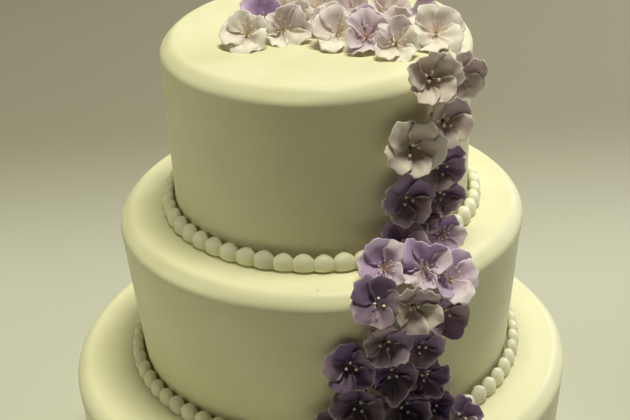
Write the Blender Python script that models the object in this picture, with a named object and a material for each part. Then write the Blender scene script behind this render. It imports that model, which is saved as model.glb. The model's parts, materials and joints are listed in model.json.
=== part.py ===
"""Wedding cake of three stacked round tiers, with a piped pearl border at the foot of each
tier and a cascade of sugar blossoms that starts on top, comes over the rim on the front
right and runs down to the foot of the cake.

Metres, +Z up, -Y is the front. The origin is the centre of the flat underside.
"""

import math
import random
from collections import namedtuple

import bpy
import numpy as np

MM = 0.001
GAP = 0.3 * MM  # left between pieces that touch

# Tiers

Tier = namedtuple("Tier", "name foot_radius rim_radius top centre")
BOTTOM = Tier("bottom", 129.0 * MM, 135.4 * MM, 90.0 * MM, (0.0, 0.0))
MIDDLE = Tier("middle", 100.0 * MM, 107.0 * MM, 178.2 * MM, (3.4 * MM, 2.7 * MM))
TOP = Tier("top", 77.1 * MM, 79.1 * MM, 270.7 * MM, (3.8 * MM, 3.2 * MM))
TIERS = (BOTTOM, MIDDLE, TOP)
RIM_ROUNDING = 7.7 * MM
RIM_ARC_STEPS = 3
TIER_SIDES = 48
UNEVENNESS = 0.7 * MM  # how far the icing dips inside the true circle
WAVES_ROUND = (2, 5)  # slow and quick waves of the icing in one turn
WAVE_PHASE = 37.0  # radians for each metre of height, so that no two tiers are alike
ICING_COLOUR = (0.80, 0.77, 0.58)
ICING_ROUGHNESS = 0.55

# Pearl borders

PEARL_HEIGHT = 8.8 * MM
PEARL_WIDTH = 7.0 * MM
PEARL_PITCH = 9.8 * MM
PEARL_NECK = 0.78  # size between two pearls, as a share of a pearl
PEARL_SIDES = 5
PIPING_COLOUR = (0.82, 0.79, 0.60)
PIPING_ROUGHNESS = 0.5

# Blossoms

PETALS = 5
STEPS_PER_PETAL = 4
RING_SHARES = (0.52, 1.0)  # how far out along a petal each ring of points lies
PETAL_THICKNESS = 0.9 * MM
HUB_THICKNESS = 2.2 * MM
CUP_DEPTH = 0.85  # height that a petal rises to, as a share of the blossom's radius
CUP_CURVE = 1.5  # the higher, the later it rises
EDGE_CURL = 0.09  # how far its edge bends back down
CURL_CURVE = 4  # the higher, the nearer the edge it bends
NOTCH_DEPTH = 0.20  # how far the outline comes in between two petals
LOBE_FULLNESS = 0.45  # the lower, the broader a petal
RUFFLE = 0.08  # waves of the edge
CREASE = 0.07  # how deep the fold between two petals lies
LEAST_REACH = 0.30  # a crowded petal keeps at least this share of its length
MIDDLE_HEIGHT = 0.55  # height of a blossom's middle above its base, as a share of its radius
OVERLAP_TILT = 0.5  # how far the plane between two blossoms leans over the lower one
SUPPORT_REACH = 1.2  # what lies within this many radii may carry a blossom
NEIGHBOUR_REACH = 1.15  # blossoms meet within this share of both radii
SETTLING_ROUNDS = 6
PETAL_LENGTHS = (0.92, 1.04)  # least and greatest, as shares of the blossom's radius
PETAL_LIFTS = (0.78, 1.15)  # the same, as shares of the cup's depth
PETAL_ROUGHNESS = 0.5
SPREAD_SEED = 7  # draws each blossom's lean, spin and petals

SHARP_ANGLE = 50.0  # degrees between two faces that show an edge
NEAREST_ARC_STEPS = 12  # fineness of the outlines that blossoms are fitted to
NEAREST_RING_STEPS = 24

# Petal colours from the palest, on top, to the darkest, at the foot
SHADES = (
    (0.89, 0.80, 0.72),
    (0.66, 0.53, 0.64),
    (0.54, 0.45, 0.38),
    (0.31, 0.22, 0.25),
    (0.17, 0.12, 0.16),
)

# Blossoms on the flat top of a tier: millimetres to the right of and behind the origin,
# radius in millimetres, shade
ON_TOP_TIER = (
    (-30, -12, 11.8, 0),
    (-12, -6, 12.0, 0),
    (14, -15, 12.0, 0),
    (28, -21, 12.3, 1),
    (42, -30, 12.2, 0),
    (62, -19, 12.4, 0),
    (-22, 6, 12.0, 1),
    (-4, 7, 11.5, 0),
    (12, 1, 11.5, 0),
    (28, -4, 12.0, 1),
    (45, -11, 11.5, 0),
    (58, -2, 11.5, 1),
    (-13, 24, 11.5, 0),
    (6, 20, 11.5, 0),
    (23, 14, 12.0, 0),
    (41, 8, 12.0, 0),
)
ON_MIDDLE_TIER = (
    (32, -84, 12.0, 1),
    (51, -85, 13.0, 1),
)
ON_BOTTOM_TIER = (
    (70, -84, 10.5, 3),
    (24, -110, 11.5, 4),
    (46, -102, 12.0, 4),
    (36, -121, 11.5, 3),
)

# Blossoms on a tier's rounded rim: azimuth from the front in degrees, to the right, then
# degrees up the rounding, radius in millimetres, shade
ON_TOP_RIM = (
    (41, 31, 12.5, 2),
    (57, 3, 11.5, 2),
)
ON_MIDDLE_RIM = (
    (13, 20, 12.4, 4),
    (34, 32, 12.8, 1),
)
ON_BOTTOM_RIM = ((11, 35, 11.5, 4),)

# Blossoms on a tier's side: azimuth, height above the tier below in millimetres, radius, shade
ON_TOP_SIDE = (
    (47, 65, 12.5, 2),
    (32, 58, 13.3, 2),
    (45, 42, 12.4, 3),
    (30, 32, 12.8, 3),
    (46, 26, 10.5, 3),
    (37, 18, 10.0, 4),
)
ON_MIDDLE_SIDE = (
    (22.5, 80, 12.6, 2),
    (31.5, 69, 11.5, 3),
    (15, 62, 12.0, 3),
    (25, 54, 11.5, 3),
    (6, 50, 12.5, 4),
    (17, 42, 12.3, 4),
    (26.5, 36, 11.5, 4),
    (8, 26, 12.7, 4),
    (21, 20, 12.0, 4),
    (30, 13, 11.0, 4),
    (1.5, 15, 11.5, 4),
)
ON_BOTTOM_SIDE = (
    (25, 77, 12.5, 4),
    (15, 69, 12.5, 4),
    (5, 60, 12.5, 4),
    (20, 53, 12.5, 3),
    (11, 43, 12.5, 4),
    (17, 28, 12.5, 4),
    (7, 22, 12.5, 4),
)

# Blossoms that lie on the pearls: azimuth, degrees up round a pearl, radius, shade
ON_TOP_PEARLS = (
    (26.5, 60, 11.5, 3),
    (43, 40, 10.5, 1),
)

LEAN_ON_TOP = 50.0  # degrees that blossoms on a flat top face towards the front
LEAN_ON_SIDE = 16.0  # degrees that blossoms on a side face upwards
LEAN_ON_PEARLS = 25.0  # degrees that blossoms on the pearls face towards the front
LEAN_SPREAD = 9.0  # random part of each
TURN_TO_FRONT = 0.5  # how far blossoms beside the front face back to it, as a share of their azimuth
LIFT_ON_TOP = 2.2 * MM  # how far a leaning blossom's hub is held off the surface by its petals

Blossom = namedtuple("Blossom", "name base axis radius shade spin character")
Plane = namedtuple("Plane", "point normal")


def clear_scene():
    for obj in list(bpy.data.objects):
        bpy.data.objects.remove(obj, do_unlink=True)


def unit(vector):
    return vector / np.linalg.norm(vector)


def foot_height(tier):
    """The underside of a tier, just clear of the one that it stands on."""
    below = [other.top for other in TIERS if other.top < tier.top]
    return max(below) + GAP if below else 0.0


def side_flare(tier):
    """How far the side leans out for each metre of height."""
    return (tier.rim_radius - tier.foot_radius) / (tier.top - RIM_ROUNDING - foot_height(tier))


def side_radius(tier, height):
    return tier.foot_radius + side_flare(tier) * (height - foot_height(tier))


def rim_arc(tier, steps):
    """Points (radius, height) of the rounded rim, from the flat top to the side."""
    centre_radius = tier.rim_radius - RIM_ROUNDING
    centre_height = tier.top - RIM_ROUNDING
    points = []
    for step in range(steps + 1):
        angle = math.pi / 2 * (1 - step / steps)
        radius = centre_radius + RIM_ROUNDING * math.cos(angle)
        points.append((radius, centre_height + RIM_ROUNDING * math.sin(angle)))
    return points


def tier_outline(tier, steps):
    """The tier's profile (radius, height), from the centre of its top to its foot."""
    foot = (tier.foot_radius, foot_height(tier))
    return [(0.0, tier.top)] + rim_arc(tier, steps) + [foot]


def pearl_centre(tier):
    """Centre (radius, height) of the border's cross-section, and its half width and height."""
    half_width = PEARL_WIDTH / 2
    half_height = PEARL_HEIGHT / 2
    flat_share = math.cos(math.pi / PEARL_SIDES)
    height = foot_height(tier) + half_height * flat_share
    if tier is not BOTTOM:
        height += GAP
    radius = side_radius(tier, height) + half_width + GAP
    return radius, height, half_width, half_height


def unevenness(tier, azimuth):
    """Waves of the icing, always inside the true circle."""
    slow, quick = WAVES_ROUND
    phase = WAVE_PHASE * tier.top
    wave = math.sin(slow * azimuth + phase) + math.sin(quick * azimuth + 2 * phase)
    return UNEVENNESS * (wave / 2 - 1) / 2


def mesh_object(name, points, faces, colour, roughness):
    """An object of one closed mesh, shaded smooth except at sharp edges."""
    mesh = bpy.data.meshes.new(name)
    mesh.from_pydata([tuple(point) for point in points], [], faces)
    mesh.validate()
    mesh.shade_smooth()
    mesh.set_sharp_from_angle(angle=math.radians(SHARP_ANGLE))
    material = bpy.data.materials.new(name)
    material.use_nodes = True
    surface = material.node_tree.nodes["Principled BSDF"]
    surface.inputs["Base Color"].default_value = (*colour, 1.0)
    surface.inputs["Roughness"].default_value = roughness
    surface.inputs["Metallic"].default_value = 0.0
    mesh.materials.append(material)
    obj = bpy.data.objects.new(name, mesh)
    bpy.context.scene.collection.objects.link(obj)
    return obj


def make_tier(tier):
    """The tier's outline turned about its own axis."""
    outline = tier_outline(tier, RIM_ARC_STEPS)[1:]
    points = [(*tier.centre, tier.top)]
    for radius, height in outline:
        for side in range(TIER_SIDES):
            azimuth = 2 * math.pi * side / TIER_SIDES
            reach = radius + unevenness(tier, azimuth)
            x = tier.centre[0] + reach * math.sin(azimuth)
            y = tier.centre[1] - reach * math.cos(azimuth)
            points.append((x, y, height))
    points.append((*tier.centre, outline[-1][1]))
    last = len(points) - 1
    last_ring = last - TIER_SIDES
    faces = []
    for side in range(TIER_SIDES):
        following = (side + 1) % TIER_SIDES
        faces.append((0, 1 + side, 1 + following))
        faces.append((last, last_ring + following, last_ring + side))
        for ring in range(len(outline) - 1):
            upper = 1 + ring * TIER_SIDES
            lower = upper + TIER_SIDES
            faces.append((upper + side, lower + side, lower + following, upper + following))
    mesh_object(f"tier_{tier.name}", points, faces, ICING_COLOUR, ICING_ROUGHNESS)


def make_border(tier):
    """A ring whose section swells at each pearl and narrows between two."""
    ring_radius, ring_height, half_width, half_height = pearl_centre(tier)
    pearls = round(2 * math.pi * ring_radius / PEARL_PITCH)
    sections = 2 * pearls
    lowest = -half_height * math.cos(math.pi / PEARL_SIDES)
    points = []
    for section in range(sections):
        azimuth = math.pi * section / pearls
        size = PEARL_NECK if section % 2 else 1.0
        for corner in range(PEARL_SIDES):
            angle = 2 * math.pi * (corner + 0.5) / PEARL_SIDES - math.pi / 2
            radius = ring_radius + half_width * (size * math.cos(angle) - (1 - size) / 2)
            rise = half_height * (size * math.sin(angle) - (1 - size) / 2)
            x = tier.centre[0] + radius * math.sin(azimuth)
            y = tier.centre[1] - radius * math.cos(azimuth)
            points.append((x, y, ring_height + max(lowest, rise)))
    faces = []
    for section in range(sections):
        here = section * PEARL_SIDES
        there = (section + 1) % sections * PEARL_SIDES
        for corner in range(PEARL_SIDES):
            beside = (corner + 1) % PEARL_SIDES
            faces.append((here + corner, there + corner, there + beside, here + beside))
    mesh_object(f"border_{tier.name}", points, faces, PIPING_COLOUR, PIPING_ROUGHNESS)


def seat_on_top(tier, right, behind):
    return np.array([right * MM, behind * MM, tier.top]), np.array([0.0, 0.0, 1.0])


def outwards(azimuth):
    return np.array([math.sin(azimuth), -math.cos(azimuth), 0.0])


def seat_on_side(tier, azimuth_degrees, height):
    azimuth = math.radians(azimuth_degrees)
    level = foot_height(tier) + height * MM
    radius = side_radius(tier, level)
    point = np.array([*tier.centre, level]) + radius * outwards(azimuth)
    return point, unit(outwards(azimuth) - np.array([0.0, 0.0, side_flare(tier)]))


def seat_on_rim(tier, azimuth_degrees, tilt_degrees):
    azimuth = math.radians(azimuth_degrees)
    tilt = math.radians(tilt_degrees)
    normal = math.cos(tilt) * outwards(azimuth) + math.sin(tilt) * np.array([0.0, 0.0, 1.0])
    middle = np.array([*tier.centre, tier.top - RIM_ROUNDING])
    middle = middle + (tier.rim_radius - RIM_ROUNDING) * outwards(azimuth)
    return middle + RIM_ROUNDING * normal, normal


def seat_on_pearls(tier, azimuth_degrees, tilt_degrees):
    azimuth = math.radians(azimuth_degrees)
    tilt = math.radians(tilt_degrees)
    radius, height, half_width, half_height = pearl_centre(tier)
    radius += half_width * math.cos(tilt)
    height += half_height * math.sin(tilt)
    normal = math.cos(tilt) * outwards(azimuth) + math.sin(tilt) * np.array([0.0, 0.0, 1.0])
    return np.array([*tier.centre, height]) + radius * outwards(azimuth), normal


def leaned(normal, towards, degrees):
    """The normal turned towards another direction."""
    sideways = unit(towards - normal * normal.dot(towards))
    angle = math.radians(degrees)
    return math.cos(angle) * normal + math.sin(angle) * sideways


def turned_to_front(axis):
    """The axis turned about the vertical, part of the way back to the front."""
    azimuth = math.atan2(axis[0], -axis[1])
    level = math.hypot(axis[0], axis[1])
    sideways = level * outwards((1 - TURN_TO_FRONT) * azimuth)
    return np.array([sideways[0], sideways[1], axis[2]])


def nearest_on_outline(outline, radius, height):
    """The point of a profile that lies nearest to a given one."""
    target = np.array([radius, height])
    best = None
    for start, end in zip(outline, outline[1:]):
        start = np.array(start)
        along = np.array(end) - start
        share = np.clip((target - start).dot(along) / along.dot(along), 0.0, 1.0)
        point = start + share * along
        distance = np.linalg.norm(target - point)
        if best is None or distance < best[0]:
            best = (distance, point)
    return best


def turned_obstacles():
    """(tier, outline) of every turned solid that blossoms must stay clear of."""
    obstacles = []
    for tier in TIERS:
        obstacles.append((tier, tier_outline(tier, NEAREST_ARC_STEPS)))
        radius, height, half_width, half_height = pearl_centre(tier)
        ring = []
        for step in range(NEAREST_RING_STEPS + 1):
            angle = 2 * math.pi * step / NEAREST_RING_STEPS
            ring.append((radius + half_width * math.cos(angle), height + half_height * math.sin(angle)))
        obstacles.append((tier, ring))
    return obstacles


def plane_off_solid(tier, outline, point, reach):
    """The plane that parts a point from a convex turned solid, or None if it is far off."""
    offset = point[:2] - np.array(tier.centre)
    radius = np.linalg.norm(offset)
    distance, nearest = nearest_on_outline(outline, radius, point[2])
    if distance > reach:
        return None
    out = np.array([*(offset / radius), 0.0])
    normal = (radius - nearest[0]) * out + np.array([0.0, 0.0, point[2] - nearest[1]])
    surface = np.array([*tier.centre, nearest[1]]) + nearest[0] * out
    return Plane(surface + GAP / 2 * unit(normal), unit(normal))


def petal_frame(blossom):
    """Two directions across the blossom, square to its axis."""
    up = np.array([0.0, 0.0, 1.0]) if abs(blossom.axis[2]) < 0.9 else np.array([0.0, 1.0, 0.0])
    across = unit(np.cross(up, blossom.axis))
    return across, np.cross(blossom.axis, across)


def petal_shape(blossom, turn, share):
    """Distance from the axis and height of the petals, a share of the way out, at a turn."""
    petal = int(turn * PETALS) % PETALS
    from_notch = turn * PETALS % 1.0
    length, lift, twist = blossom.character[petal]
    lobe = math.sin(math.pi * from_notch) ** LOBE_FULLNESS
    out = length * share * (1 - NOTCH_DEPTH * (1 - lobe))
    cup = CUP_DEPTH * lift * share**CUP_CURVE
    curl = EDGE_CURL * share**CURL_CURVE * lobe
    ruffle = RUFFLE * share**2 * twist * math.sin(2 * math.pi * from_notch)
    crease = CREASE * share * (1 - lobe)
    return blossom.radius * out, blossom.radius * (cup - curl + ruffle - crease)


def thickness(share):
    return PETAL_THICKNESS + (HUB_THICKNESS - PETAL_THICKNESS) * (1 - share) ** 2


def pushed_out(point, planes, margin):
    """The point moved square to each plane that it is not in front of."""
    for _ in range(SETTLING_ROUNDS):
        for plane in planes:
            room = plane.normal.dot(point - plane.point) - margin
            point = point - min(room, 0.0) * plane.normal
    return point


def petal_points(blossom, turn, shares, supports, neighbours):
    """Points along one line from the hub outwards. They lie on what is below them, and the
    line is drawn in where a neighbour is in the way."""
    across, along = petal_frame(blossom)
    angle = 2 * math.pi * (turn + blossom.spin)
    direction = math.cos(angle) * across + math.sin(angle) * along
    offsets = []
    for share in shares:
        out, height = petal_shape(blossom, turn, share)
        point = blossom.base + out * direction + height * blossom.axis
        offsets.append(pushed_out(point, supports, thickness(share) / 2) - blossom.base)
    reach = 1.0
    for plane in neighbours:
        room = plane.normal.dot(blossom.base - plane.point)
        for share, offset in zip(shares, offsets):
            inwards = -plane.normal.dot(offset)
            margin = room - thickness(share) / 2
            if inwards > margin:
                reach = min(reach, margin / inwards)
    reach = max(reach, LEAST_REACH)
    return [blossom.base + reach * offset for offset in offsets]


def support_planes(blossom, obstacles):
    """Planes that keep a blossom off the tiers and the pearls."""
    found = []
    for tier, outline in obstacles:
        plane = plane_off_solid(tier, outline, blossom.base, SUPPORT_REACH * blossom.radius)
        if plane:
            found.append(plane)
    return found


def parting_planes(blossoms):
    """For each blossom, the planes that part it from those beside it. Where two meet, the
    plane is tilted so that the larger lies over the smaller."""
    planes = {blossom.name: [] for blossom in blossoms}
    for index, one in enumerate(blossoms):
        for other in blossoms[index + 1 :]:
            apart = np.linalg.norm(one.base - other.base)
            if apart > NEIGHBOUR_REACH * (one.radius + other.radius):
                continue
            over, under = (one, other) if one.radius > other.radius else (other, one)
            over_middle = over.base + MIDDLE_HEIGHT * over.radius * over.axis
            under_middle = under.base + MIDDLE_HEIGHT * under.radius * under.axis
            share = under.radius / (over.radius + under.radius)
            middle = under_middle + share * (over_middle - under_middle)
            facing = unit(over.axis + under.axis)
            normal = unit(unit(over_middle - under_middle) + OVERLAP_TILT * facing)
            planes[over.name].append(Plane(middle + GAP / 2 * normal, normal))
            planes[under.name].append(Plane(middle - GAP / 2 * normal, -normal))
    return planes


def make_blossom(blossom, supports, neighbours):
    """A thin cupped flower: one sheet of points, given thickness on both faces."""
    steps = PETALS * STEPS_PER_PETAL
    rows = []
    for step in range(steps):
        rows.append(petal_points(blossom, step / steps, RING_SHARES, supports, neighbours))
    sheet = [blossom.base]
    shares = [0.0]
    for ring, share in enumerate(RING_SHARES):
        for step in range(steps):
            sheet.append(rows[step][ring])
            shares.append(share)
    sheet = np.array(sheet)
    triangles = []
    for step in range(steps):
        following = (step + 1) % steps
        triangles.append((0, 1 + step, 1 + following))
        for ring in range(len(RING_SHARES) - 1):
            inner = 1 + ring * steps
            outer = inner + steps
            triangles.append((inner + step, outer + step, outer + following))
            triangles.append((inner + step, outer + following, inner + following))
    corners = sheet[np.array(triangles)]
    face_normals = np.cross(corners[:, 1] - corners[:, 0], corners[:, 2] - corners[:, 0])
    normals = np.zeros_like(sheet)
    for triangle, normal in zip(triangles, face_normals):
        for corner in triangle:
            normals[corner] += normal
    normals /= np.linalg.norm(normals, axis=1)[:, None]
    half = np.array([thickness(share) / 2 for share in shares])[:, None]
    points = np.vstack([sheet + half * normals, sheet - half * normals])
    count = len(sheet)
    faces = list(triangles)
    faces += [(a + count, c + count, b + count) for a, b, c in triangles]
    rim = 1 + (len(RING_SHARES) - 1) * steps
    for step in range(steps):
        here = rim + step
        there = rim + (step + 1) % steps
        faces.append((here, here + count, there + count))
        faces.append((here, there + count, there))
    mesh_object(blossom.name, points, faces, SHADES[blossom.shade], PETAL_ROUGHNESS)


def grow_blossom(name, seat, towards, lean, lift, radius, shade, dice):
    """A blossom on its seat, with its own lean, spin and petals."""
    point, normal = seat
    axis = leaned(normal, towards, lean + dice.uniform(-LEAN_SPREAD, LEAN_SPREAD))
    axis = turned_to_front(axis)
    base = point + (GAP + HUB_THICKNESS / 2 + lift) * normal
    character = []
    for _ in range(PETALS):
        length = dice.uniform(*PETAL_LENGTHS)
        lift = dice.uniform(*PETAL_LIFTS)
        twist = dice.uniform(-1.0, 1.0)
        character.append((length, lift, twist))
    return Blossom(name, base, axis, radius * MM, shade, dice.random(), character)


def all_blossoms():
    dice = random.Random(SPREAD_SEED)
    front = np.array([0.0, -1.0, 0.0])
    up = np.array([0.0, 0.0, 1.0])
    groups = (
        (TOP, ON_TOP_TIER, seat_on_top, front, LEAN_ON_TOP, LIFT_ON_TOP),
        (TOP, ON_TOP_RIM, seat_on_rim, front, LEAN_ON_SIDE, 0.0),
        (TOP, ON_TOP_SIDE, seat_on_side, up, LEAN_ON_SIDE, 0.0),
        (TOP, ON_TOP_PEARLS, seat_on_pearls, front, LEAN_ON_PEARLS, 0.0),
        (MIDDLE, ON_MIDDLE_TIER, seat_on_top, front, LEAN_ON_TOP, LIFT_ON_TOP),
        (MIDDLE, ON_MIDDLE_RIM, seat_on_rim, up, LEAN_ON_SIDE, 0.0),
        (MIDDLE, ON_MIDDLE_SIDE, seat_on_side, up, LEAN_ON_SIDE, 0.0),
        (BOTTOM, ON_BOTTOM_TIER, seat_on_top, front, LEAN_ON_TOP, LIFT_ON_TOP),
        (BOTTOM, ON_BOTTOM_RIM, seat_on_rim, up, LEAN_ON_SIDE, 0.0),
        (BOTTOM, ON_BOTTOM_SIDE, seat_on_side, up, LEAN_ON_SIDE, 0.0),
    )
    blossoms = []
    for tier, places, seat, towards, lean, lift in groups:
        for first, second, radius, shade in places:
            name = f"blossom_{len(blossoms) + 1:02d}"
            place = seat(tier, first, second)
            blossoms.append(grow_blossom(name, place, towards, lean, lift, radius, shade, dice))
    return blossoms


def build_cake():
    clear_scene()
    for tier in TIERS:
        make_tier(tier)
        make_border(tier)
    blossoms = all_blossoms()
    obstacles = turned_obstacles()
    neighbours = parting_planes(blossoms)
    for blossom in blossoms:
        make_blossom(blossom, support_planes(blossom, obstacles), neighbours[blossom.name])


build_cake()
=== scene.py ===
"""Looks of the tiered wedding cake: smooth ivory icing, piped pearls and sugar blossoms with
thin petals and little stamens, on a plain pale floor.

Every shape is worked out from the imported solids, in metres, +Z up, -Y the front.
"""

import json
import math
import random
from collections import namedtuple

import bmesh
import bpy
import numpy as np
from mathutils import Euler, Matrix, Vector, noise


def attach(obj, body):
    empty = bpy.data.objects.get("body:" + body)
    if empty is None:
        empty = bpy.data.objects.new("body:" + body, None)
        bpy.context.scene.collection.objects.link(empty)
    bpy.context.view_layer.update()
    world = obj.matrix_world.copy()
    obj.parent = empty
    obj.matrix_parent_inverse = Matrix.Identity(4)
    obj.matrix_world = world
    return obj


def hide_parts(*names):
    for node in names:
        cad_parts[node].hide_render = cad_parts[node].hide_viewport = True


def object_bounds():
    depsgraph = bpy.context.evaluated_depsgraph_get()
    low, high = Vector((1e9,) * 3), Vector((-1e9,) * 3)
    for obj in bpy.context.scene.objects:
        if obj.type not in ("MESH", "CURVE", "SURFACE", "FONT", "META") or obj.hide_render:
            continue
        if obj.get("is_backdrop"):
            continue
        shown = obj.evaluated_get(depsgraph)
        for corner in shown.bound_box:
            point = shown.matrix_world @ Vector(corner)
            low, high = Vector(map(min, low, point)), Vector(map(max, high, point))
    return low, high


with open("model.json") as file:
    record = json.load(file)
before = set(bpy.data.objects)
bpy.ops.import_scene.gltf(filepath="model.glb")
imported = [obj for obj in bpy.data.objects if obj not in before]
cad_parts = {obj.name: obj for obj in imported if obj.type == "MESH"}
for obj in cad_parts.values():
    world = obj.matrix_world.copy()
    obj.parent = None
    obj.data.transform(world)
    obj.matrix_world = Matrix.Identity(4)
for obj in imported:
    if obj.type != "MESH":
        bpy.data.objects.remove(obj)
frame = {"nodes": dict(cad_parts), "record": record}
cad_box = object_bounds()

MM = 0.001
CAKE_TOP = cad_box[1][2] - 0.1 * MM  # petals stay below the highest point of the solids
WELD = 0.01 * MM  # corners of a solid closer than this are one point
TIERS = ("bottom", "middle", "top")

# Camera

LENS = 81.24  # millimetres, on a sensor 36 millimetres wide
SENSOR = 36.0
CAMERA_PLACE = (3.4 * MM, -666.3 * MM, 528.8 * MM)
CAMERA_TURN = (61.67, 1.90, -0.74)  # degrees about X, Y and Z
NEAREST_SEEN = 0.01
FARTHEST_SEEN = 50.0

# Icing

ICING_SIDES = 240
RIM_STEPS = 16
SIDE_STEPS = 24
TOP_SHARES = (0.2, 0.4, 0.6, 0.75, 0.88, 0.96)  # rings of the flat top
ICING_WAVE = 0.5 * MM  # how deep the hand-smoothed icing dips
ICING_WAVE_LENGTH = 45.0 * MM
RIM_SOFTNESS = 1.3 * MM  # how much more rounded the rim is in places
RIM_CHANGES = 2.2  # how often that changes round the rim
RIM_SHIFT = 40.0  # sets one tier's rim apart from the next one's
WAVE_SHIFT = 10.0  # sets one tier's dips apart from the next one's

# Marks in the icing: place, radius, how strongly they show
MARKS = (
    ((0.4 * MM, -95.0 * MM, 178.0 * MM), 0.9 * MM, 0.75),
    ((113.0 * MM, -26.0 * MM, 90.0 * MM), 2.5 * MM, 0.12),
)
MARK_COLOUR = (0.40, 0.37, 0.20)
MARK_FADE = 3  # a mark fades from its radius divided by this to its radius

# Pearls

PEARL_SEGMENTS = 24
PEARL_RINGS = 14
PEARL_SPREAD = 0.06  # how much their sizes differ
PEARL_WIDTH = 1.34  # of a pearl at its foot, as a share of the distance to the next one
PEARL_FULLNESS = 3.2  # the higher, the rounder its shoulders
PEARL_LEAN = 0.6  # how far its top lies back against the tier
PEARL_PEAK = 0.03  # height of the little peak that the nozzle leaves, as a share of the pearl
PEAK_SHARPNESS = 12
PEAK_LEAN = 0.5  # how far a peak may lean to either side
PEARL_FOOT = 0.08  # how far it draws in at the foot
PEARL_FOOT_EDGE = 20.0  # the higher, the sharper the edge of the foot
SAME_SECTION = 0.004  # corners of a ring that lie within this angle are one section of it
FULL_SECTION = 0.9  # a section this tall, as a share of the tallest one, is a pearl's middle

# Petals

PETALS = 5
LINES_PER_PETAL = 4
LINES = PETALS * LINES_PER_PETAL
INNER_SHARE = 0.52  # how far out the solid's inner ring of points lies
NOTCH_FILL = 1.25  # petals pass each other where the solid has a notch
STANDING_LIFT = 1.35  # a petal without room to lie rises at most this much higher
PETAL_COLUMNS = 16
PETAL_ROWS = 12
ROW_CROWDING = 1.5  # the higher, the closer the rows of points near the rim
BASE_SHARE = 0.05
BASE_WIDTH = 0.6  # of a petal's foot, as a share of its sector
FULL_WIDTH = 1.5
FULL_WIDTH_AT = 0.55  # share of the way out from which a petal has its full width
CORNER_CUT = 0.30  # how much a petal's corners are rounded off
CORNER_SHAPE = 2.8  # the higher, the squarer the petal
TIP_WAVE = 0.04  # small irregular waves of the outline
OUTLINE_WAVES = (2.3, 5.1, 12.0)  # how quickly these waves follow each other
QUICK_WAVE = 0.5  # strength of the last of them
OUTLINE_LOSS = 0.5  # keeps the waves inside the outline
SPOON = 0.09  # how far a petal's sides rise above its middle, as a share of the radius
SPOON_DIP = 0.15  # how far its middle sinks, as a share of that rise
HALF_PETAL = 0.6  # half a petal's width, as a share of the radius
OVERLAP = 1.1 * MM  # how far one petal's side lies above the next one's
PETAL_WAVE = 0.05
PETAL_WAVE_RATE = 5.0
EDGE_RUFFLE = 0.065  # quick waves of the rim alone
EDGE_RUFFLE_RATE = 11.0
EDGE_CURL = 0.17  # how far a petal's rim bends outwards, as a share of the radius
EDGE_CURLS = (0.35, 1.35)  # its square root is drawn between these, so that few curl far
CURL_WIDTH = 3.4 * MM  # how far from the edge the bend starts
CURL_START = 0.6  # twice the share of the way out from which a petal's sides bend
CURL_PARTS = (0.7, 0.3)  # how much of the bend is steady, and how much comes and goes
CURL_RATE = 2.6
PETAL_THICKNESS = 0.55 * MM
EDGE_THICKNESS = 0.4 * MM
THINNING_WIDTH = 1.0 * MM  # how far from the edge a petal starts to be thinner
RIM_WIDTH = 1.3 * MM  # width of a petal's pale edge, partly its own paler paste and partly a painted highlight
RIM_PALENESS_AND_CURL_HIGHLIGHT = 0.9  # of a petal that curls as far as most, and paler where it curls further: a painted highlight where the rim curls up to the light
RIM_LEVEL = 0.55  # share of that in a petal that points neither up nor down
LOW_PETAL_RIM_HIGHLIGHT = 0.6  # added to it in one that points down, and taken off in one that points up: painted light on lower petals that face the lamps, painted shade on upper ones
RIM_LEAST = 0.1
FRONT_WEIGHT = 0.5  # pointing forwards counts this much of pointing down
TONES = (-0.7, 0.6)  # a petal's tone is drawn between these
TONE_LEVELS = (180.0 * MM, 270.0 * MM)  # up to the first height blossoms lean to violet, and
LEVEL_TONES = (-0.45, 0.2)  # they are palest from the second one on
LOW_PETAL_PALENESS_AND_LIGHT = 0.6  # how much paler than the others a petal is that points down or forwards: partly paler paste on lower petals, partly painted light on petals that face up and painted shade on those that point up

# Stamens

THREAD_RADIUS = 0.17 * MM
THREAD_POINTS = 7
THREAD_SIDES = 6
TIP_LENGTH = 1.35  # of a pale blossom's tips, as a share of their width
BEAD, THREAD, WIRE = 0, 1, 2  # materials of the stamens
STAMEN_DRIFT = 0.18  # how far one may stand off its even place round the hub
STAMEN_SPREADS = (0.75, 1.2)
STAMEN_HEIGHTS = (0.85, 1.12)
STAMEN_BEND = 1.6  # the higher, the straighter it starts
BEAD_COUNT = 3
BEAD_RADIUS = 0.92 * MM
TIP_SPREAD = 0.18  # how much smaller some beads and tips are
BEAD_HEIGHT = 0.36  # of the beads above a dark blossom's hub, as a share of its radius
BEAD_RING = 0.18  # how far from its axis they stand
TIP_COUNT = 9
TIP_RADIUS = 0.42 * MM
TIP_HEIGHT = 0.50
TIP_RING = 0.27
EYE_RADIUS = 1.3 * MM
EYE_HEIGHT = 0.8  # as a share of its radius
BALL_SEGMENTS = 12
BALL_RINGS = 8

# Lights: name, azimuth (0 in front, 90 on the right), elevation, size, watts, colour

LIGHTS = (
    ("key", 90.0, 80.0, 0.4, 21.5, (1.0, 1.0, 0.78)),
    ("overhead", 0.0, 89.5, 0.3, 14.0, (1.0, 1.0, 0.78)),
    ("back_right", 135.0, 20.0, 0.8, 17.5, (0.96, 0.95, 1.0)),
    ("left", 272.0, 20.0, 0.8, 7.3, (1.0, 1.0, 0.70)),
)
LIGHT_DISTANCE = 2.0
LIGHT_AIM = (0.0, 0.0, 0.15)
SKY_COLOUR = (0.80, 0.79, 0.56)
SKY_STRENGTH = 0.02

FLOOR_SIZE = 8.0
FLOOR_FADE = (0.18, 0.50)  # how far behind the cake the floor turns darker
FLOOR_DROP = 0.1 * MM

# Colours: first and second of each pair are mixed in soft clouds

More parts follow.
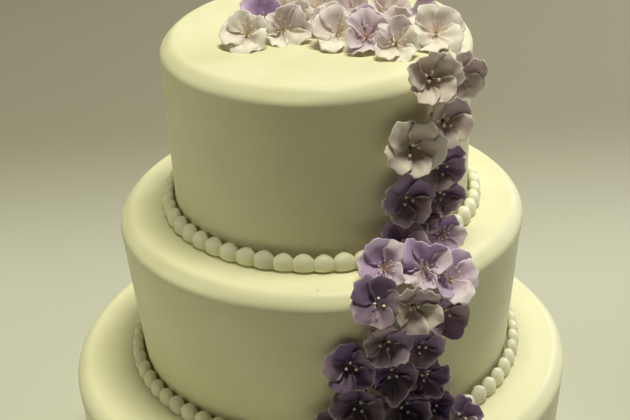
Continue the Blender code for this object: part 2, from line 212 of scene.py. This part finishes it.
ICING_COLOURS = ((0.845, 0.82, 0.585), (0.80, 0.775, 0.53))
FLECK_COLOUR = (0.74, 0.71, 0.47)
PIPING_COLOURS = ((0.96, 0.94, 0.71), (0.93, 0.90, 0.66))
BEAD_COLOURS = ((0.92, 0.89, 0.72), (0.84, 0.80, 0.62))
THREAD_COLOURS = ((0.80, 0.66, 0.42), (0.64, 0.50, 0.30))
WIRE_COLOURS = ((0.20, 0.15, 0.12), (0.12, 0.08, 0.07))
FLOOR_COLOURS = ((0.54, 0.54, 0.46), (0.62, 0.62, 0.53))
FAR_FLOOR_COLOUR = (0.33, 0.305, 0.235)

Sheet = namedtuple("Sheet", "hub axis inner outer radius")
Look = namedtuple("Look", "inner outer edge violet")

# Petal colours by material slot: near the hub, in the outer half, along the edge, and the violet
# that some petals lean towards. The darker hub and paler outer half are partly the paste's own
# colour, partly painted shade in the cup and painted light where the petal faces up. The edge
# colour is partly the paste's paler edge and partly a painted highlight.
PETAL_LOOKS = {
    "petals_palest": Look(
        (0.91, 0.79, 0.75), (0.96, 0.87, 0.81), (0.97, 0.91, 0.84), (0.68, 0.54, 0.66)
    ),
    "petals_pale": Look(
        (0.58, 0.43, 0.57), (0.80, 0.67, 0.76), (0.93, 0.85, 0.86), (0.45, 0.31, 0.62)
    ),
    "petals_mid": Look(
        (0.52, 0.42, 0.385), (0.72, 0.62, 0.58), (0.92, 0.84, 0.78), (0.50, 0.39, 0.50)
    ),
    "petals_dark": Look(
        (0.31, 0.22, 0.26), (0.47, 0.36, 0.41), (0.80, 0.70, 0.72), (0.29, 0.19, 0.42)
    ),
    "petals_darkest": Look(
        (0.17, 0.115, 0.165), (0.25, 0.175, 0.235), (0.66, 0.56, 0.62), (0.17, 0.10, 0.30)
    ),
}


def make_camera():
    data = bpy.data.cameras.new("camera")
    data.lens = LENS
    data.sensor_width = SENSOR
    data.sensor_fit = "HORIZONTAL"
    data.clip_start = NEAREST_SEEN
    data.clip_end = FARTHEST_SEEN
    camera = bpy.data.objects.new("camera", data)
    camera.location = CAMERA_PLACE
    camera.rotation_euler = Euler([math.radians(angle) for angle in CAMERA_TURN])
    bpy.context.scene.collection.objects.link(camera)
    bpy.context.scene.camera = camera


def soft_light(name, azimuth, elevation, size, power, colour):
    """A square of light that faces the cake."""
    turn = math.radians(azimuth)
    rise = math.radians(elevation)
    away = Vector(
        (math.sin(turn) * math.cos(rise), -math.cos(turn) * math.cos(rise), math.sin(rise))
    )
    data = bpy.data.lights.new(name, "AREA")
    data.size = size
    data.energy = power
    data.color = colour
    light = bpy.data.objects.new(name, data)
    light.location = Vector(LIGHT_AIM) + LIGHT_DISTANCE * away
    light.rotation_euler = away.to_track_quat("Z", "Y").to_euler()
    bpy.context.scene.collection.objects.link(light)


def light_scene():
    scene = bpy.context.scene
    scene.view_settings.view_transform = "Standard"
    scene.view_settings.look = "None"
    world = bpy.data.worlds.new("studio")
    world.use_nodes = True
    background = world.node_tree.nodes["Background"]
    background.inputs["Color"].default_value = (*SKY_COLOUR, 1.0)
    background.inputs["Strength"].default_value = SKY_STRENGTH
    scene.world = world
    for light in LIGHTS:
        soft_light(*light)


class Nodes:
    """Short calls to build a material's node tree."""

    def __init__(self, name):
        self.material = bpy.data.materials.new(name)
        self.material.use_nodes = True
        self.tree = self.material.node_tree
        self.surface = self.tree.nodes["Principled BSDF"]

    def link(self, value, socket):
        if isinstance(value, bpy.types.NodeSocket):
            self.tree.links.new(value, socket)
        else:
            socket.default_value = value

    def place(self):
        return self.tree.nodes.new("ShaderNodeTexCoord").outputs["Object"]

    def noise(self, scale, detail=2.0, roughness=0.5, vector=None):
        node = self.tree.nodes.new("ShaderNodeTexNoise")
        node.inputs["Scale"].default_value = scale
        node.inputs["Detail"].default_value = detail
        node.inputs["Roughness"].default_value = roughness
        self.link(vector or self.place(), node.inputs["Vector"])
        return node.outputs["Fac"]

    def distance(self, place):
        node = self.tree.nodes.new("ShaderNodeVectorMath")
        node.operation = "DISTANCE"
        self.link(self.place(), node.inputs[0])
        node.inputs[1].default_value = place
        return node.outputs["Value"]

    def maths(self, operation, first, second=0.0, third=0.0):
        node = self.tree.nodes.new("ShaderNodeMath")
        node.operation = operation
        for value, socket in zip((first, second, third), node.inputs):
            self.link(value, socket)
        return node.outputs["Value"]

    def stretch(self, value, low, high, to_low=0.0, to_high=1.0):
        """The value's range from low to high, spread smoothly from to_low to to_high."""
        node = self.tree.nodes.new("ShaderNodeMapRange")
        node.interpolation_type = "SMOOTHSTEP"
        for number, name in (
            (low, "From Min"),
            (high, "From Max"),
            (to_low, "To Min"),
            (to_high, "To Max"),
        ):
            node.inputs[name].default_value = number
        self.link(value, node.inputs["Value"])
        return node.outputs["Result"]

    def roughness(self, pattern, smoothest, roughest):
        return self.stretch(pattern, low=0.3, high=0.7, to_low=smoothest, to_high=roughest)

    def mix(self, share, first, second):
        node = self.tree.nodes.new("ShaderNodeMix")
        node.data_type = "RGBA"
        self.link(share, node.inputs["Factor"])
        for value, socket in ((first, node.inputs["A"]), (second, node.inputs["B"])):
            colour = value if isinstance(value, bpy.types.NodeSocket) else (*value, 1.0)
            self.link(colour, socket)
        return node.outputs["Result"]

    def bump(self, height, distance, strength=1.0, below=None):
        node = self.tree.nodes.new("ShaderNodeBump")
        node.inputs["Distance"].default_value = distance
        node.inputs["Strength"].default_value = strength
        self.link(height, node.inputs["Height"])
        if below:
            self.link(below, node.inputs["Normal"])
        return node.outputs["Normal"]

    def finish(self, **values):
        for name, value in values.items():
            self.link(value, self.surface.inputs[name.replace("_", " ")])
        return self.material


def icing_material():
    """Rolled icing: ivory with faint clouds, a fine grain and a satin sheen in places."""
    nodes = Nodes("icing")
    clouds = nodes.stretch(nodes.noise(scale=22.0, detail=3.0), low=0.35, high=0.7)
    colour = nodes.mix(clouds, *ICING_COLOURS)
    flecks = nodes.stretch(nodes.noise(scale=420.0, detail=2.0), low=0.62, high=0.75, to_high=0.25)
    colour = nodes.mix(flecks, colour, FLECK_COLOUR)
    for place, radius, strength in MARKS:
        away = nodes.distance(place)
        near = nodes.stretch(away, radius / MARK_FADE, radius, to_low=strength, to_high=0.0)
        colour = nodes.mix(near, colour, MARK_COLOUR)
    fine = nodes.noise(scale=900.0, detail=3.0, roughness=0.6)
    grain = nodes.bump(fine, distance=0.12 * MM, strength=0.35)
    broad = nodes.noise(scale=70.0, detail=2.0)
    strokes = nodes.bump(broad, distance=0.8 * MM, strength=0.25, below=grain)
    return nodes.finish(
        Base_Color=colour,
        Roughness=nodes.roughness(nodes.noise(scale=60.0), 0.46, 0.62),
        Normal=strokes,
        Specular_IOR_Level=0.35,
        Subsurface_Weight=0.12,
        Subsurface_Radius=(1.0, 0.8, 0.5),
        Subsurface_Scale=2.0 * MM,
    )


def piping_material():
    """Piped icing: a touch whiter and glossier than the rolled icing."""
    nodes = Nodes("piping")
    clouds = nodes.stretch(nodes.noise(scale=160.0, detail=2.0), low=0.35, high=0.7)
    colour = nodes.mix(clouds, *PIPING_COLOURS)
    grain = nodes.bump(nodes.noise(scale=1400.0, detail=2.0), distance=0.08 * MM, strength=0.35)
    return nodes.finish(
        Base_Color=colour,
        Roughness=nodes.roughness(nodes.noise(scale=200.0), 0.34, 0.5),
        Normal=grain,
        Specular_IOR_Level=0.45,
        Subsurface_Weight=0.15,
        Subsurface_Radius=(1.0, 0.9, 0.6),
        Subsurface_Scale=1.5 * MM,
    )


def petal_material(slot, look):
    """Sugar paste. Its petals carry how far out a point is, how near the edge, and a tone: the
    higher, the paler the petal, and the lower, the more violet. Near the edge a painted highlight
    is mixed into the paste's pale rim, and the tone holds painted light and shade by which way a
    petal points."""
    nodes = Nodes(slot)
    carried = nodes.tree.nodes.new("ShaderNodeAttribute")
    carried.attribute_name = "petal"
    parts = nodes.tree.nodes.new("ShaderNodeSeparateXYZ")
    nodes.link(carried.outputs["Vector"], parts.inputs["Vector"])
    out, edge, tone_and_light = parts.outputs
    mottle = nodes.noise(scale=330.0, detail=3.0, roughness=0.6)
    # Darker near the hub, paler further out: partly the paste's own colour, partly painted shade
    # deep in the cup and painted light on the outer half
    reach = nodes.maths("MULTIPLY_ADD", mottle, 0.5, out)
    colour = nodes.mix(nodes.stretch(reach, low=0.45, high=1.15), look.inner, look.outer)
    paler = nodes.stretch(tone_and_light, low=0.0, high=1.0, to_high=0.5)
    colour = nodes.mix(paler, colour, look.outer)
    more_violet = nodes.stretch(tone_and_light, low=0.0, high=-1.0, to_high=0.8)
    colour = nodes.mix(more_violet, colour, look.violet)
    # Pale edge in patches: partly the paste's own paler rim, partly a painted highlight where rims
    # curl up to the light
    patches = nodes.stretch(nodes.noise(scale=210.0, detail=2.0), low=0.35, high=0.65, to_low=0.3)
    rim_paleness_and_highlight = nodes.maths("MULTIPLY", patches, nodes.stretch(edge, low=0.0, high=1.0, to_high=0.8))
    colour = nodes.mix(rim_paleness_and_highlight, colour, look.edge)
    grain = nodes.bump(nodes.noise(scale=1500.0, detail=2.0), distance=0.1 * MM, strength=0.3)
    broad = nodes.noise(scale=260.0, detail=2.0)
    creases = nodes.bump(broad, distance=0.5 * MM, strength=0.35, below=grain)
    return nodes.finish(
        Base_Color=colour,
        Roughness=nodes.roughness(mottle, 0.38, 0.56),
        Normal=creases,
        Specular_IOR_Level=0.4,
        Subsurface_Weight=0.35,
        Subsurface_Radius=(1.0, 0.9, 0.9),
        Subsurface_Scale=1.5 * MM,
        Sheen_Weight=0.1,
        Sheen_Roughness=0.5,
    )


def bead_material():
    nodes = Nodes("stamen_beads")
    clouds = nodes.stretch(nodes.noise(scale=500.0), low=0.3, high=0.7)
    colour = nodes.mix(clouds, *BEAD_COLOURS)
    return nodes.finish(Base_Color=colour, Roughness=0.22, Coat_Weight=0.5, Coat_Roughness=0.1)


def thread_material(name, colours):
    nodes = Nodes(name)
    clouds = nodes.stretch(nodes.noise(scale=700.0), low=0.3, high=0.7)
    return nodes.finish(Base_Color=nodes.mix(clouds, *colours), Roughness=0.5)


def floor_material():
    nodes = Nodes("floor")
    near = nodes.mix(nodes.noise(scale=3.0, detail=2.0), *FLOOR_COLOURS)
    parts = nodes.tree.nodes.new("ShaderNodeSeparateXYZ")
    nodes.link(nodes.place(), parts.inputs["Vector"])
    colour = nodes.mix(nodes.stretch(parts.outputs["Y"], *FLOOR_FADE), near, FAR_FLOOR_COLOUR)
    return nodes.finish(Base_Color=colour, Roughness=0.9, Specular_IOR_Level=0.1)


def mesh_piece(name, points, faces, materials, nodes=()):
    """A smooth-shaded piece that rides on the cake and stands for the named solids."""
    mesh = bpy.data.meshes.new(name)
    mesh.from_pydata([tuple(point) for point in points], [], faces)
    mesh.shade_smooth()
    for material in materials:
        mesh.materials.append(material)
    piece = bpy.data.objects.new(name, mesh)
    bpy.context.scene.collection.objects.link(piece)
    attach(piece, "root")
    if nodes:
        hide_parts(*nodes)
    return piece


def solid_points(node):
    """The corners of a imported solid, each once."""
    corners = np.array([vertex.co for vertex in frame["nodes"][node].data.vertices])
    return np.unique(np.round(corners / WELD).astype(int), axis=0) * WELD


def level_ring(points, height):
    """Centre and radii of the ring of points at one height, from the front round to the right."""
    ring = points[np.abs(points[:, 2] - height) < 2 * WELD]
    centre = (ring[:, :2].min(axis=0) + ring[:, :2].max(axis=0)) / 2
    offsets = ring[:, :2] - centre
    radii = np.linalg.norm(offsets, axis=1)
    outside = radii > radii.max() / 2
    offsets = ring[outside, :2] - ring[outside, :2].mean(axis=0)
    azimuths = np.arctan2(offsets[:, 0], -offsets[:, 1])
    order = np.argsort(np.round(azimuths, 3) % (2 * math.pi))
    return ring[outside, :2].mean(axis=0), np.linalg.norm(offsets[order], axis=1)


def finer(radii, count):
    """The same ring of radii with more points, joined smoothly."""
    return np.fft.irfft(np.fft.rfft(radii), count) * count / len(radii)


def smooth_noise(place, seed=0.0):
    return noise.noise(Vector(place) + Vector((seed, 2 * seed, 3 * seed)))


def dress_tier(name, material):
    """The tier's solid with a true round rim and the small dips of hand-smoothed icing."""
    points = solid_points(f"tier_{name}")
    heights = np.unique(points[:, 2])[::-1]
    top, side_start, foot = heights[0], heights[-2], heights[-1]
    centre, flat = level_ring(points, top)
    shoulder = level_ring(points, side_start)[1]
    base = level_ring(points, foot)[1]
    flat, shoulder, base = [finer(radii, ICING_SIDES) for radii in (flat, shoulder, base)]
    rounding = top - side_start
    rows = [(share * flat, np.full(ICING_SIDES, top)) for share in TOP_SHARES]
    azimuths = np.arange(ICING_SIDES) * 2 * math.pi / ICING_SIDES
    slack = []
    for azimuth in azimuths:
        turn = (math.sin(azimuth) * RIM_CHANGES, math.cos(azimuth) * RIM_CHANGES, RIM_SHIFT * top)
        slack.append(0.5 + 0.5 * smooth_noise(turn))
    slack = np.array(slack)
    for step in range(RIM_STEPS + 1):
        angle = math.pi / 2 * step / RIM_STEPS
        cut = RIM_SOFTNESS * slack * math.sin(2 * angle) ** 2
        radii = flat + (shoulder - flat) * math.sin(angle) - cut * math.sin(angle)
        rows.append((radii, side_start + rounding * math.cos(angle) - cut * math.cos(angle)))
    for step in range(1, SIDE_STEPS + 1):
        share = step / SIDE_STEPS
        height = side_start + (foot - side_start) * share
        rows.append((shoulder + (base - shoulder) * share, np.full(ICING_SIDES, height)))
    last = len(rows) - 1
    corners = [(*centre, top)]
    for row, (radii, levels) in enumerate(rows):
        for radius, level, azimuth in zip(radii, levels, azimuths):
            out = Vector((math.sin(azimuth), -math.cos(azimuth), 0.0))
            place = Vector((*centre, level)) + out * radius
            swell = smooth_noise(place / ICING_WAVE_LENGTH, top * WAVE_SHIFT)
            dip = ICING_WAVE * (0.5 + 0.5 * swell)
            if row < len(TOP_SHARES):
                place.z -= dip
            elif row < last:
                place -= out * dip
            corners.append(place)
    corners.append((*centre, foot))
    faces = []
    for side in range(ICING_SIDES):
        following = (side + 1) % ICING_SIDES
        faces.append((0, 1 + side, 1 + following))
        for row in range(last):
            upper = 1 + row * ICING_SIDES
            lower = upper + ICING_SIDES
            faces.append((upper + side, lower + side, lower + following, upper + following))
        bottom = 1 + last * ICING_SIDES
        faces.append((len(corners) - 1, bottom + following, bottom + side))
    mesh_piece(f"icing_{name}", corners, faces, [material], [f"tier_{name}"])


def pearl_places(name):
    """Where a border's solid swells: the middle of each swelling and its own three directions."""
    points = solid_points(f"border_{name}")
    centre = (points[:, :2].min(axis=0) + points[:, :2].max(axis=0)) / 2
    offsets = points[:, :2] - centre
    azimuths = np.round(np.arctan2(offsets[:, 0], -offsets[:, 1]), 3) % (2 * math.pi)
    found = []
    for azimuth in np.unique(np.round(azimuths, 3)):
        section = points[np.abs(azimuths - azimuth) < SAME_SECTION]
        found.append((azimuth, section))
    tallest = max(np.ptp(section[:, 2]) for _, section in found)
    return centre, [row for row in found if np.ptp(row[1][:, 2]) > FULL_SECTION * tallest]


def round_form(points, faces, segments, rings, place):
    """A closed form like a globe. Its points come from place, by polar angle and turn."""
    start = len(points)
    points.append(place(0.0, 0.0))
    for ring in range(1, rings):
        for segment in range(segments):
            points.append(place(math.pi * ring / rings, 2 * math.pi * segment / segments))
    points.append(place(math.pi, 0.0))
    last = len(points) - 1
    for segment in range(segments):
        beside = (segment + 1) % segments
        faces.append((start, start + 1 + segment, start + 1 + beside))
        for ring in range(rings - 2):
            upper = start + 1 + ring * segments
            lower = upper + segments
            faces.append((upper + segment, lower + segment, lower + beside, upper + beside))
        faces.append((last, last - segments + beside, last - segments + segment))


def dress_border(name, material):
    """Domed pearls run into one another, each a little different and with a small peak."""
    dice = random.Random(name)
    centre, places = pearl_places(name)
    points = []
    faces = []
    for azimuth, section in places:
        out = Vector((math.sin(azimuth), -math.cos(azimuth), 0.0))
        across = Vector((math.cos(azimuth), math.sin(azimuth), 0.0))
        radial = (section[:, :2] - centre).dot(np.array(out[:2]))
        low, high = section[:, 2].min(), section[:, 2].max()
        pitch = 2 * math.pi * radial.mean() / len(places)
        size = Vector((pitch / 2 * PEARL_WIDTH, np.ptp(radial) / 2, (high - low) / 2))
        size *= 1 - dice.uniform(0.0, PEARL_SPREAD)
        middle = Vector((*centre, low + size.z)) + out * (radial.min() + radial.max()) / 2
        lean = dice.uniform(-PEAK_LEAN, PEAK_LEAN)

        def place(angle, turn):
            up = math.cos(angle)
            wide = math.sqrt(1 - ((1 + up) / 2) ** PEARL_FULLNESS)
            if up < 0:
                wide *= (1 - PEARL_FOOT * up * up) * min(1.0, PEARL_FOOT_EDGE * (1 + up))
            peak = PEARL_PEAK * max(0.0, up) ** PEAK_SHARPNESS
            forwards = wide * math.sin(turn) - PEARL_LEAN * (1 - wide) * min(1.0, 1 + up)
            point = middle + across * size.x * (wide * math.cos(turn) + lean * peak)
            return point + out * size.y * forwards + Vector((0.0, 0.0, size.z * (up + peak)))

        round_form(points, faces, PEARL_SEGMENTS, PEARL_RINGS, place)
    mesh_piece(f"pearls_{name}", points, faces, [material], [f"border_{name}"])


def linked(vertex):
    return {edge.other_vert(vertex) for edge in vertex.link_edges}


def hub_rings(hub):
    """The two rings of points round one side of a blossom's hub, in order."""
    around = linked(hub)
    ring = [min(around, key=lambda vertex: vertex.index)]
    while len(ring) < LINES:
        following = [vertex for vertex in linked(ring[-1]) & around if vertex not in ring]
        ring.append(min(following, key=lambda vertex: vertex.index))
    inner = np.array([vertex.co for vertex in ring])
    turns = np.cross(inner - hub.co, np.roll(inner, -1, axis=0) - hub.co)
    if turns.sum(axis=0).dot(hub.normal) < 0:
        ring.reverse()
    outer = []
    for index, vertex in enumerate(ring):
        shared = (linked(ring[index - 1]) & linked(vertex)) - around - {hub}
        outer.append(shared.pop().co.copy())
    return np.array(hub.co), np.array([vertex.co for vertex in ring]), np.array(outer)


def blossom_sheet(node):
    """The surface half way through a blossom's solid: its hub and two rings of points, both
    from a notch between two petals on."""
    work = bmesh.new()
    work.from_mesh(frame["nodes"][node].data)
    bmesh.ops.remove_doubles(work, verts=work.verts, dist=WELD)
    work.normal_update()
    sides = [hub_rings(vertex) for vertex in work.verts if len(vertex.link_edges) == LINES]
    work.free()
    opening = sum(outer.mean(axis=0) - hub for hub, _, outer in sides)
    front, back = sorted(sides, key=lambda side: -side[0].dot(opening))
    back_inner, back_outer = back[1][::-1], back[2][::-1]
    shifts = range(LINES)
    misses = [np.abs(front[2] - np.roll(back_outer, shift, axis=0)).sum() for shift in shifts]
    shift = int(np.argmin(misses))
    outer = (front[2] + np.roll(back_outer, shift, axis=0)) / 2
    misses = [np.abs(front[1] - np.roll(back_inner, shift, axis=0)).sum() for shift in shifts]
    shift = int(np.argmin(misses))
    inner = (front[1] + np.roll(back_inner, shift, axis=0)) / 2
    hub = (front[0] + back[0]) / 2
    axis = (front[0] - back[0]) / np.linalg.norm(front[0] - back[0])
    reach = np.linalg.norm(outer - hub, axis=1)
    dips = np.roll(reach, 1) + np.roll(reach, -1) - 2 * reach
    depths = [dips[start::LINES_PER_PETAL].sum() for start in range(LINES_PER_PETAL)]
    phase = int(np.argmax(depths))
    inner = np.roll(inner, -phase, axis=0)
    outer = np.roll(outer, -phase, axis=0)
    radius = float(np.median(reach))
    for ring in (inner, outer):
        rises = (ring - hub).dot(axis)
        flats = ring - hub - rises[:, None] * axis
        flats[::LINES_PER_PETAL] *= NOTCH_FILL
        widths = np.linalg.norm(flats, axis=1)
        full = np.median(np.hypot(rises, widths))
        standing = np.sqrt(np.maximum(full**2 - widths**2, 0.0))
        standing = np.minimum(standing, STANDING_LIFT * np.median(rises))
        rises = np.maximum(rises, standing)
        ring[:] = hub + flats + rises[:, None] * axis
    return Sheet(hub, axis, inner, outer, radius)


def blend(rows, place):
    """The smooth closed curve through some rows, read at fractional places."""
    index = np.floor(place).astype(int)
    part = (place - index)[..., None]
    before, here, after, later = [rows[(index + step) % len(rows)] for step in (-1, 0, 1, 2)]
    slope_here = (after - before) / 2
    slope_after = (later - here) / 2
    return (
        (2 * part**3 - 3 * part**2 + 1) * here
        + (part**3 - 2 * part**2 + part) * slope_here
        + (3 * part**2 - 2 * part**3) * after
        + (part**3 - part**2) * slope_after
    )


def on_sheet(sheet, place, share):
    """Points at fractional line numbers and shares of the way out to the outer ring."""
    inner = blend(sheet.inner - sheet.hub, place)
    outer = blend(sheet.outer - sheet.hub, place)
    share = share[..., None]
    middle = share * (1 - share) / (INNER_SHARE * (1 - INNER_SHARE))
    end = share * (share - INNER_SHARE) / (1 - INNER_SHARE)
    return sheet.hub + middle * inner + end * outer


def smooth_step(value):
    value = np.clip(value, 0.0, 1.0)
    return value * value * (3 - 2 * value)


def grow_petal(sheet, petal, dice):
    """One thin petal: front and back points, faces, and the three numbers its colour needs."""
    columns = np.sin(math.pi / 2 * np.linspace(-1.0, 1.0, PETAL_COLUMNS + 1))
    rows = 1 - (1 - np.linspace(0.0, 1.0, PETAL_ROWS + 1)) ** ROW_CROWDING
    across, out = np.meshgrid(columns, rows)
    slow, middling, sway, come, ruffle, quick = [dice.uniform(0, 2 * math.pi) for _ in range(6)]
    wave = np.sin(OUTLINE_WAVES[0] * across + slow) + np.sin(OUTLINE_WAVES[1] * across + middling)
    wave = wave + QUICK_WAVE * np.sin(OUTLINE_WAVES[2] * across + quick)
    outline = 1 - CORNER_CUT * np.abs(across) ** CORNER_SHAPE
    outline = outline + TIP_WAVE * (wave / 2 - OUTLINE_LOSS)
    share = BASE_SHARE + (outline - BASE_SHARE) * out
    width = BASE_WIDTH + (FULL_WIDTH - BASE_WIDTH) * smooth_step(share / FULL_WIDTH_AT)
    place = LINES_PER_PETAL * (petal + 0.5 + 0.5 * width * across)
    surface = on_sheet(sheet, place, share)
    normal = np.cross(np.gradient(surface, axis=1), np.gradient(surface, axis=0))
    normal /= np.linalg.norm(normal, axis=2)[..., None] + 1e-12
    normal *= np.sign(normal.dot(sheet.axis).sum())
    lift = SPOON * (across**2 - SPOON_DIP) * share
    swing = np.sin(PETAL_WAVE_RATE * across + sway)
    lift = lift + PETAL_WAVE * share**2 * swing * np.abs(across)
    to_tip = (1 - out) * sheet.radius
    to_side = (1 - np.abs(across)) * sheet.radius * HALF_PETAL * share
    to_edge = np.minimum(to_tip, to_side)
    bend = np.clip(1 - to_edge / CURL_WIDTH, 0.0, 1.0) ** 2 * smooth_step(2 * share - CURL_START)
    curl = dice.uniform(*EDGE_CURLS) ** 2
    steady, changing = CURL_PARTS
    curling = steady + changing * np.sin(CURL_RATE * across + come)
    lift = lift - EDGE_CURL * curl * bend * curling
    lift = lift + EDGE_RUFFLE * bend * np.sin(EDGE_RUFFLE_RATE * across + ruffle)
    lift = sheet.radius * lift + OVERLAP * across * smooth_step(share * 2)
    surface = surface + lift[..., None] * normal
    middle = surface[-1, PETAL_COLUMNS // 2] - sheet.hub
    low = -(middle[2] + FRONT_WEIGHT * middle[1]) / np.linalg.norm(middle)
    # Edge paleness: the paste's pale rim plus a painted highlight, stronger where the rim curls
    # further and on petals pointing down, weaker on petals pointing up
    edge = np.clip(1 - to_edge / RIM_WIDTH, 0.0, 1.0) * np.clip(RIM_PALENESS_AND_CURL_HIGHLIGHT * curl, 0.0, 1.0)
    edge *= np.clip(RIM_LEVEL + LOW_PETAL_RIM_HIGHLIGHT * low, RIM_LEAST, 1.0)
    thin = smooth_step(to_edge / THINNING_WIDTH)[..., None]
    half = (EDGE_THICKNESS + (PETAL_THICKNESS - EDGE_THICKNESS) * thin) / 2
    front = (surface + half * normal).reshape(-1, 3)
    back = (surface - half * normal).reshape(-1, 3)
    level = np.interp(sheet.hub[2], TONE_LEVELS, LEVEL_TONES)
    # Tone: a random share, the blossom's height, and painted light on petals pointing down or
    # forwards, painted shade on those pointing up
    tone_and_light = dice.uniform(*TONES) + LOW_PETAL_PALENESS_AND_LIGHT * low + level
    tone_and_light = np.full_like(share, np.clip(tone_and_light, -1.0, 1.0))
    looks = np.stack([share, edge, tone_and_light], axis=-1).reshape(-1, 3)
    count = len(front)
    stride = PETAL_COLUMNS + 1
    faces = []
    for row in range(PETAL_ROWS):
        for column in range(PETAL_COLUMNS):
            corner = row * stride + column
            square = (corner, corner + 1, corner + 1 + stride, corner + stride)
            faces.append(square)
            faces.append(tuple(index + count for index in reversed(square)))
    border = list(range(stride))
    border += [row * stride + PETAL_COLUMNS for row in range(1, PETAL_ROWS + 1)]
    border += [PETAL_ROWS * stride + column for column in range(PETAL_COLUMNS - 1, -1, -1)]
    border += [row * stride for row in range(PETAL_ROWS - 1, 0, -1)]
    for here, there in zip(border, border[1:] + border[:1]):
        faces.append((there, here, here + count, there + count))
    return np.vstack([front, back]), faces, np.vstack([looks, looks])


def ball(centre, axis, radius, height, material, parts):
    """A small rounded bead on its axis."""
    points, faces, kinds = parts
    side = axis.orthogonal().normalized()
    other = axis.cross(side)

    def place(angle, turn):
        across = radius * math.sin(angle) * (math.cos(turn) * side + math.sin(turn) * other)
        return centre + across + height * math.cos(angle) * axis

    round_form(points, faces, BALL_SEGMENTS, BALL_RINGS, place)
    kinds += [material] * (len(faces) - len(kinds))


def thread(path, radius, material, parts):
    """A thin round thread along some points."""
    points, faces, kinds = parts
    start = len(points)
    for index, place in enumerate(path):
        ahead = path[min(index + 1, len(path) - 1)] - path[max(index - 1, 0)]
        along = ahead.normalized()
        side = along.orthogonal().normalized()
        other = along.cross(side)
        for corner in range(THREAD_SIDES):
            turn = 2 * math.pi * corner / THREAD_SIDES
            points.append(place + radius * (math.cos(turn) * side + math.sin(turn) * other))
            if index:
                here = start + index * THREAD_SIDES
                beside = (corner + 1) % THREAD_SIDES
                before = here - THREAD_SIDES
                faces.append((before + corner, before + beside, here + beside, here + corner))
                kinds.append(material)


def grow_stamens(sheet, pale, dice, parts):
    """Beads on short wires in a dark blossom, finer tipped threads in a pale one."""
    axis = Vector(sheet.axis)
    side = axis.orthogonal().normalized()
    other = axis.cross(side)
    hub = Vector(sheet.hub)
    count, ring, rise, tip, kind = BEAD_COUNT, BEAD_RING, BEAD_HEIGHT, BEAD_RADIUS, WIRE
    if pale:
        count, ring, rise, tip, kind = TIP_COUNT, TIP_RING, TIP_HEIGHT, TIP_RADIUS, THREAD
    spin = dice.uniform(0, 2 * math.pi)
    ball(hub, axis, EYE_RADIUS, EYE_HEIGHT * EYE_RADIUS, kind, parts)
    for index in range(count):
        drift = dice.uniform(-STAMEN_DRIFT, STAMEN_DRIFT)
        turn = spin + 2 * math.pi * (index + drift) / count
        out = math.cos(turn) * side + math.sin(turn) * other
        spread = sheet.radius * ring * dice.uniform(*STAMEN_SPREADS)
        height = sheet.radius * rise * dice.uniform(*STAMEN_HEIGHTS)
        path = []
        for step in range(THREAD_POINTS):
            share = step / (THREAD_POINTS - 1)
            path.append(hub + share * height * axis + spread * share**STAMEN_BEND * out)
        thread(path, THREAD_RADIUS, kind, parts)
        facing = (path[-1] - path[-2]).normalized()
        size = tip * (1 - dice.uniform(0.0, TIP_SPREAD))
        ball(path[-1], facing, size, size * (TIP_LENGTH if pale else 1.0), BEAD, parts)


def dress_blossom(node, slot, petal_paste, stamen_materials):
    dice = random.Random(node)
    sheet = blossom_sheet(node)
    points = []
    faces = []
    looks = []
    for petal in range(PETALS):
        petal_points, petal_faces, petal_looks = grow_petal(sheet, petal, dice)
        faces += [tuple(index + len(points) for index in face) for face in petal_faces]
        points += list(petal_points)
        looks += list(petal_looks)
    highest = max(point[2] for point in points)
    squash = min(1.0, (CAKE_TOP - sheet.hub[2]) / (highest - sheet.hub[2]))
    points = [(x, y, sheet.hub[2] + squash * (z - sheet.hub[2])) for x, y, z in points]
    number = node.split("_")[1]
    piece = mesh_piece(f"petals_{number}", points, faces, [petal_paste], [node])
    carried = piece.data.attributes.new("petal", "FLOAT_VECTOR", "POINT")
    carried.data.foreach_set("vector", np.array(looks, dtype=np.float32).ravel())
    parts = ([], [], [])
    pale = slot in ("petals_palest", "petals_pale")
    grow_stamens(sheet, pale, dice, parts)
    stamens = mesh_piece(f"stamens_{number}", parts[0], parts[1], stamen_materials)
    stamens.data.polygons.foreach_set("material_index", parts[2])


def make_floor():
    half = FLOOR_SIZE / 2
    corners = [(-half, -half), (half, -half), (half, half), (-half, half)]
    mesh = bpy.data.meshes.new("floor")
    mesh.from_pydata([(x, y, -FLOOR_DROP) for x, y in corners], [], [(0, 1, 2, 3)])
    mesh.materials.append(floor_material())
    floor = bpy.data.objects.new("floor", mesh)
    bpy.context.scene.collection.objects.link(floor)
    floor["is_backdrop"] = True


make_camera()
light_scene()
make_floor()
icing = icing_material()
piping = piping_material()
for tier_name in TIERS:
    dress_tier(tier_name, icing)
    dress_border(tier_name, piping)
pastes = {slot: petal_material(slot, look) for slot, look in PETAL_LOOKS.items()}
stamen_pastes = [
    bead_material(),
    thread_material("stamen_threads", THREAD_COLOURS),
    thread_material("stamen_wires", WIRE_COLOURS),
]
for subpart in frame["record"]["subparts"]:
    if subpart["node"].startswith("blossom"):
        slot_name = subpart["material_slot"]
        dress_blossom(subpart["node"], slot_name, pastes[slot_name], stamen_pastes)

rows = [[list(corner) for corner in box] for box in (cad_box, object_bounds())]
